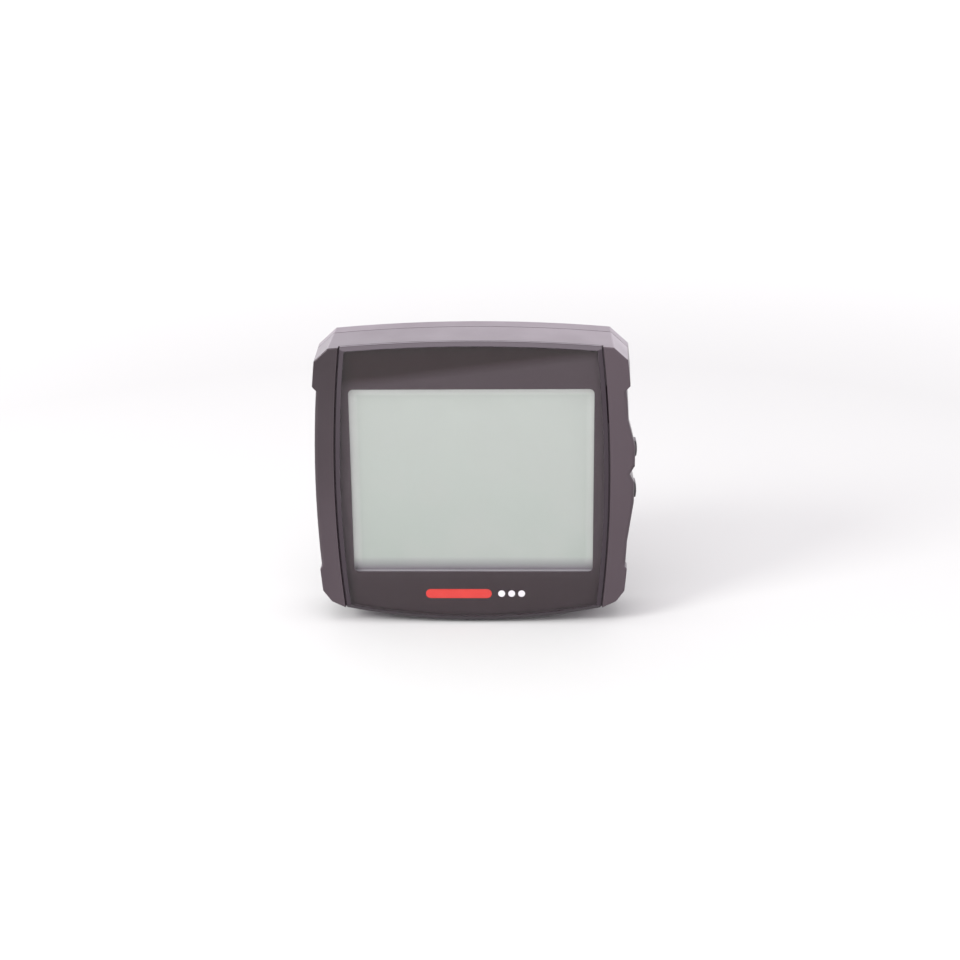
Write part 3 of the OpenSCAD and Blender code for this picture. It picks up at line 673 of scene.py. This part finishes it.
def loft(shape, rings, closed=False):
    """Skin over rings that have equally many points. An open skin gets a cap at each end."""
    rows = [[shape.verts.new(point) for point in ring] for ring in rings]
    count = len(rows[0])
    pairs = list(zip(rows, rows[1:]))
    if closed:
        pairs.append((rows[-1], rows[0]))
    for one, other in pairs:
        for i in range(count):
            after = (i + 1) % count
            shape.faces.new((one[i], one[after], other[after], other[i]))
    if not closed:
        shape.faces.new(rows[0])
        shape.faces.new(rows[-1])


def add_lofted(name, node, lofts):
    """Piece made of one or more skins, each given as its rings and whether it closes."""
    crease = math.radians(25)
    shape = bmesh.new()
    for rings, closed in lofts:
        loft(shape, rings, closed)
    bmesh.ops.recalc_face_normals(shape, faces=shape.faces)
    for face in shape.faces:
        face.smooth = True
    mesh = bpy.data.meshes.new(name)
    shape.to_mesh(mesh)
    shape.free()
    mesh.set_sharp_from_angle(angle=crease)
    return add_piece(name, mesh, node)


def quarter(x, inset, radius, steps=5):
    """Quarter circle that rounds an outer corner, as (distance, inset) from base to top."""
    angles = [math.radians(90) * i / steps for i in range(steps + 1)]
    return [(x + radius * math.sin(a), inset + radius * (1 - math.cos(a))) for a in angles]


def slot_ring(x, y, z, half_len, half_h, steps=14):
    """Slot shape across X, with its round ends towards the front and the back."""
    straight = half_len - half_h
    ring = []
    for side in (1, -1):
        for i in range(steps + 1):
            angle = math.radians(-90 + 180 * i / steps)
            ring.append((x, y + side * (straight + half_h * math.cos(angle)),
                         z + side * half_h * math.sin(angle)))
    return ring


def add_button(name, node):
    """Button: a thin flange inside the wall, a straight body and a softly domed face."""
    low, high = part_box(node)
    y = (low.y + high.y) / 2
    z = (low.z + high.z) / 2
    rim = 0.9 * MM
    flange_t = 0.8 * MM
    soft = 0.15 * MM
    edge_r = 0.4 * MM
    dome = 0.18 * MM
    half_len = (high.y - low.y) / 2 - rim
    half_h = (high.z - low.z) / 2 - rim
    steps = [(low.x, soft - rim), (low.x + soft, -rim)]
    steps += [(low.x + flange_t - soft, -rim), (low.x + flange_t, soft - rim)]
    steps += [(low.x + flange_t, 0)]
    steps += quarter(high.x - dome - edge_r, 0, edge_r)
    for share in (0.25, 0.5, 0.75, 0.95):
        inset = edge_r + share * (half_h - edge_r)
        steps.append((high.x - dome * (1 - share) ** 2, inset))
    rings = [slot_ring(x, y, z, half_len - inset, half_h - inset) for x, inset in steps]
    add_lofted(name, node, [(rings, False)])


def add_boot(name, node):
    """Silicone boot: a post, a sealing sheet and a raised middle."""
    low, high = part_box(node)
    y = (low.y + high.y) / 2
    z = (low.z + high.z) / 2
    soft = 0.15 * MM
    post_r = 1.3 * MM
    rim = 2.1 * MM
    sheet_t = 0.6 * MM
    sheet_x = low.x + 0.65 * MM
    half_len = (high.y - low.y) / 2
    half_h = (high.z - low.z) / 2
    post = [(low.x, post_r - soft), (low.x + soft, post_r), (sheet_x, post_r)]
    sheet = [(sheet_x, soft), (sheet_x + soft, 0), (sheet_x + sheet_t - soft, 0),
             (sheet_x + sheet_t, soft), (sheet_x + sheet_t, rim)]
    sheet += [(high.x - soft, rim), (high.x, rim + soft)]
    rings = [slot_ring(x, y, z, radius, radius) for x, radius in post]
    rings += [slot_ring(x, y, z, half_len - inset, half_h - inset) for x, inset in sheet]
    boot = add_lofted(name, node, [(rings, False)])
    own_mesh(boot)


def round_ring(x, z, y, radius, facets=48):
    """Circle across Y. The radius is a number, or a function of the share of the turn."""
    ring = []
    for i in range(facets):
        turn = i / facets
        reach = radius(turn) if callable(radius) else radius
        angle = 2 * math.pi * turn
        ring.append((x + reach * math.cos(angle), y, z + reach * math.sin(angle)))
    return ring


def threaded(bore_r, height, pitch, y):
    """Radius of a thread's groove at a depth, as a function of the share of the turn."""
    def radius(turn):
        along = (y / pitch + turn) % 1
        return bore_r + height * (1 - abs(2 * along - 1))
    return radius


def add_inserts():
    """Brass inserts with a chamfered mouth and a threaded bore."""
    node = "mount_inserts"
    low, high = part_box(node)
    outer_r = (high.z - low.z) / 2
    bore_r = 2.1 * MM
    floor_t = 1 * MM
    chamfer = 0.3 * MM
    pitch = 0.8 * MM
    thread_h = 0.34 * MM
    steps_per_turn = 8
    mouth_r = bore_r + thread_h + 0.1 * MM
    z = (low.z + high.z) / 2
    first_y = high.y - chamfer
    last_y = low.y + floor_t + chamfer
    step = pitch / steps_per_turn
    count = int((first_y - last_y) / step)
    lofts = []
    for x in (low.x + outer_r, high.x - outer_r):
        profile = [(low.y, outer_r - chamfer), (low.y + chamfer, outer_r)]
        profile += [(high.y - chamfer, outer_r), (high.y, outer_r - chamfer)]
        profile += [(high.y, mouth_r)]
        rings = [round_ring(x, z, y, radius) for y, radius in profile]
        for i in range(count + 1):
            y = first_y - i * step
            rings.append(round_ring(x, z, y, threaded(bore_r, thread_h, pitch, y)))
        rings.append(round_ring(x, z, low.y + floor_t, bore_r))
        lofts.append((rings, False))
    add_lofted("threaded_inserts", node, lofts)


def add_grommet():
    """Rubber inlet: a rounded flange, a neck and a lip, with a funnel at its mouth."""
    node = "cable_grommet"
    low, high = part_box(node)
    x = (low.x + high.x) / 2
    z = (low.z + high.z) / 2
    flange_r = (high.x - low.x) / 2
    bore_r = 3.1 * MM
    neck_r = 4.8 * MM
    lip_r = 5.6 * MM
    lip_t = 1.17 * MM
    flange_t = 0.97 * MM
    soft = 0.25 * MM
    profile = [(low.y, bore_r), (low.y, lip_r - soft), (low.y + soft, lip_r)]
    profile += [(low.y + lip_t, lip_r), (low.y + lip_t, neck_r)]
    profile += [(high.y - flange_t, neck_r), (high.y - flange_t, flange_r - soft)]
    profile += [(high.y - flange_t + soft, flange_r)]
    profile += [(y, flange_r - inset) for y, inset in quarter(high.y - 2 * soft, 0, 2 * soft)]
    profile += [(high.y, bore_r + 3 * soft), (high.y - soft, bore_r + soft)]
    profile += [(high.y - 3 * soft, bore_r)]
    rings = [round_ring(x, z, y, radius) for y, radius in profile]
    add_lofted("inlet_grommet", node, [(rings, True)])


# ---------- stage ----------

def add_floor():
    """Wide plane under the lowest point of the object."""
    half = 6.0
    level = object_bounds()[0].z
    mesh = bpy.data.meshes.new("floor")
    mesh.from_pydata([(-half, -half, level), (half, -half, level),
                      (half, half, level), (-half, half, level)], [], [(0, 1, 2, 3)])
    mesh.materials.append(floor_paint())
    floor = bpy.data.objects.new("floor", mesh)
    bpy.context.scene.collection.objects.link(floor)


def add_softbox(name, place, size, power, tint=(1, 1, 1)):
    """Square soft light at a place, turned towards the origin."""
    light = bpy.data.lights.new(name, "AREA")
    light.shape = "SQUARE"
    light.size = size
    light.energy = power
    light.color = tint
    lamp = bpy.data.objects.new(name, light)
    lamp.location = place
    towards_origin = -Vector(place)
    lamp.rotation_euler = towards_origin.to_track_quat("-Z", "Y").to_euler()
    bpy.context.scene.collection.objects.link(lamp)


def add_world():
    """Pale surroundings, brighter and faintly violet towards the horizon."""
    world = bpy.data.worlds.new("studio")
    world.use_nodes = True
    tree = world.node_tree
    direction = add_node(tree, "ShaderNodeTexCoord").outputs["Generated"]
    height = add_node(tree, "ShaderNodeSeparateXYZ", {"Vector": direction}).outputs["Z"]
    share = ramp(tree, height, 0.35, 0.80)
    horizon = (2.25, 2.08, 2.28, 1)
    overhead = (0.95, 0.95, 0.95, 1)
    colour = blend_colours(tree, share, horizon, overhead)
    background = tree.nodes["Background"]
    tree.links.new(colour, background.inputs["Color"])
    background.inputs["Strength"].default_value = 1.0
    bpy.context.scene.world = world


def add_lights():
    """A wide softbox above the front and a smaller key light at the left."""
    add_world()
    add_softbox("overhead", (-0.05, -0.44, 0.73), size=0.6, power=3.6, tint=(1, 0.92, 1))
    add_softbox("key", (-0.52, -0.46, 0.42), size=0.25, power=5.0)


add_camera()
dress_nodes()
add_front_case()
add_rear_case()
add_rounded_copy("window_panel", "front_lens", 0.12 * MM)
add_rounded_copy("rating_label", "blank_label", 0.05 * MM)
add_button("select_cap", "select_button")
add_button("adjust_cap", "adjust_button")
add_boot("select_seal", "select_boot")
add_boot("adjust_seal", "adjust_boot")
add_case_screws()
add_inserts()
add_grommet()
add_floor()
add_lights()
bpy.context.scene.view_settings.view_transform = "Standard"
